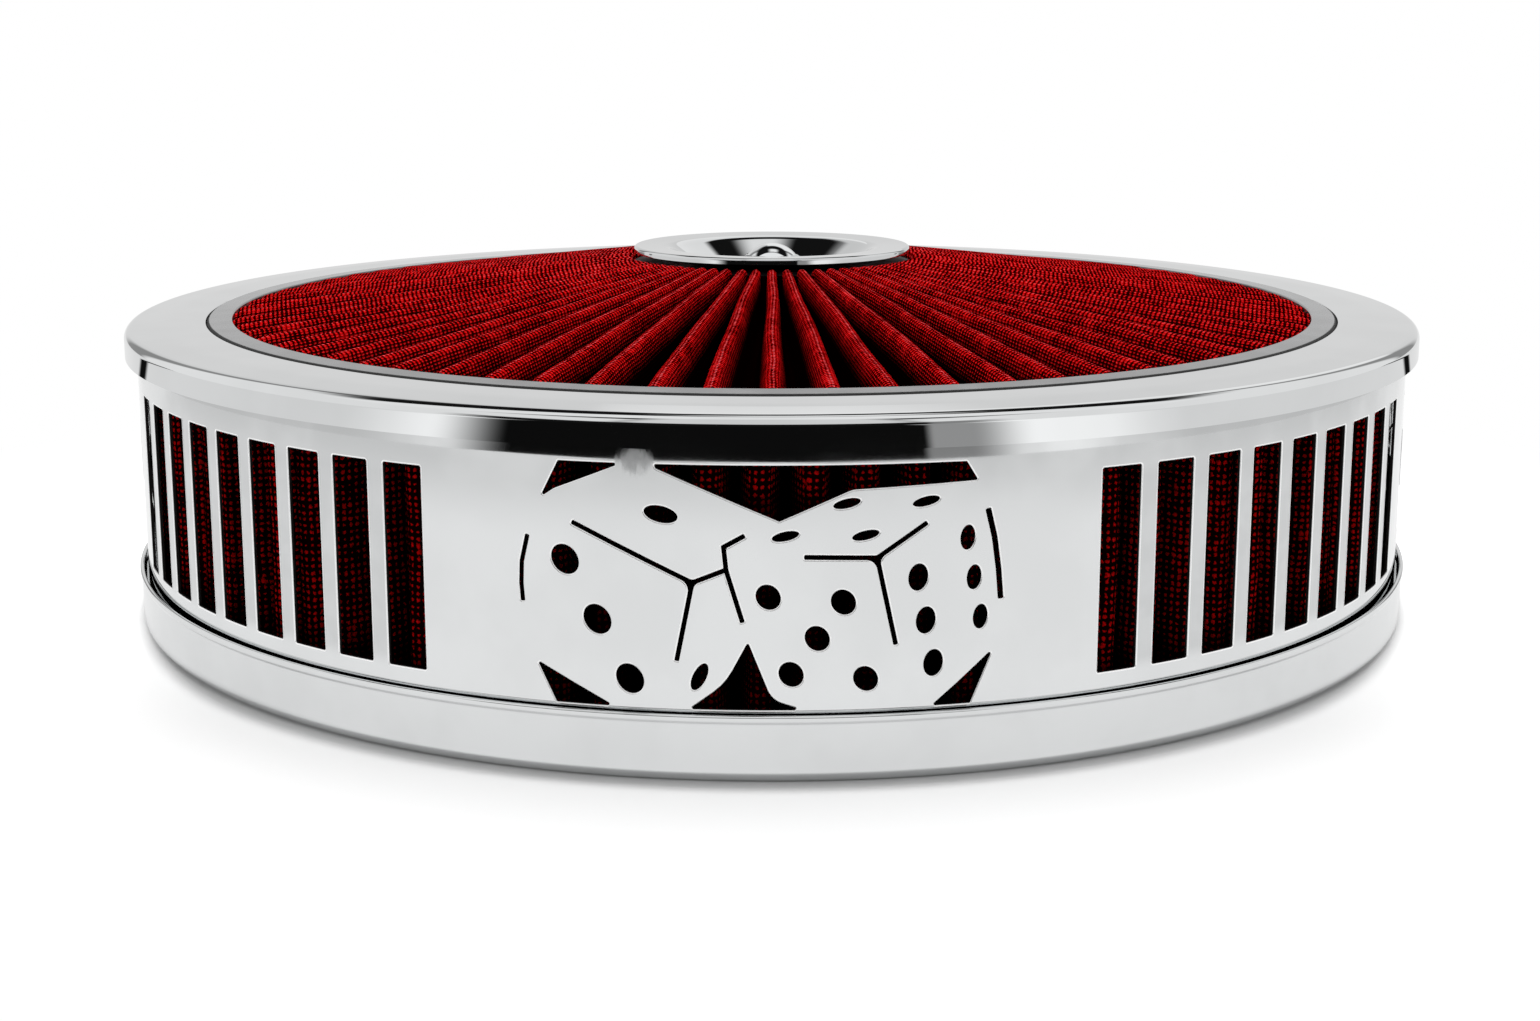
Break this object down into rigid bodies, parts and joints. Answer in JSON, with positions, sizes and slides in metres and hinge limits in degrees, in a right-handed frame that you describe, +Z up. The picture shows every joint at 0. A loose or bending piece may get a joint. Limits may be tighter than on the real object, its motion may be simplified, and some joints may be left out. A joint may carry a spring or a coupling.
{
  "type": "carburetor air cleaner",
  "caption": "Round carburetor air cleaner: chrome base pan, cut side band, red pleated filter ring and a ring lid with a pleated cone, clamped by a dished cap and domed nut.",
  "frame": {"origin": "centre of the base, on the surface that the air cleaner stands on", "axes": "+Z up along the stud, from the carburetor to the nut; -Y faces the front dice cut-out"},
  "size_m": [0.3556, 0.3556, 0.096],
  "materials": {
    "chrome_base": "polished chrome plate",
    "chrome_band": "polished chrome plate",
    "chrome_lid": "polished chrome plate",
    "chrome_cap": "polished chrome plate",
    "chrome_nut": "polished chrome plate",
    "zinc_steel": "zinc plated",
    "red_media": "pleated cotton gauze",
    "grey_urethane": "moulded satin",
    "black_urethane": "moulded matt",
    "gasket": "matt",
    "washer": "matt"
  },
  "bodies": {
    "housing": {"base_pan": "chrome_base", "neck_gasket": "gasket", "side_band": "chrome_band", "element_lower_seal": "black_urethane", "element_media": "red_media", "element_upper_seal": "black_urethane", "center_stud": "zinc_steel"},
    "lid": {"lid_ring": "chrome_lid", "lid_edge_seal": "grey_urethane", "lid_media": "red_media", "hub_seal": "black_urethane", "hub_plate": "zinc_steel", "hub_sleeve": "zinc_steel", "center_cap": "chrome_cap"},
    "washer": {"nut_washer": "washer"},
    "nut": {"cap_nut": "chrome_nut"}
  },
  "joints": [
    {"name": "lid_lift", "type": "slide", "parent": "housing", "child": "lid", "axis": [0, 0, 1], "range_m": [0, 0.08]},
    {"name": "nut_travel", "type": "slide", "parent": "lid", "child": "washer", "axis": [0, 0, 1], "range_m": [0, 0.0077]},
    {"name": "nut_turn", "type": "hinge", "parent": "washer", "child": "nut", "pos_m": [0, 0, 0.09], "axis": [0, 0, 1], "range_deg": [0, 2160]}
  ],
  "couplings": [
    {"joint": "nut_travel", "follows": "nut_turn", "m_per_rad": 0.00020213}
  ]
}
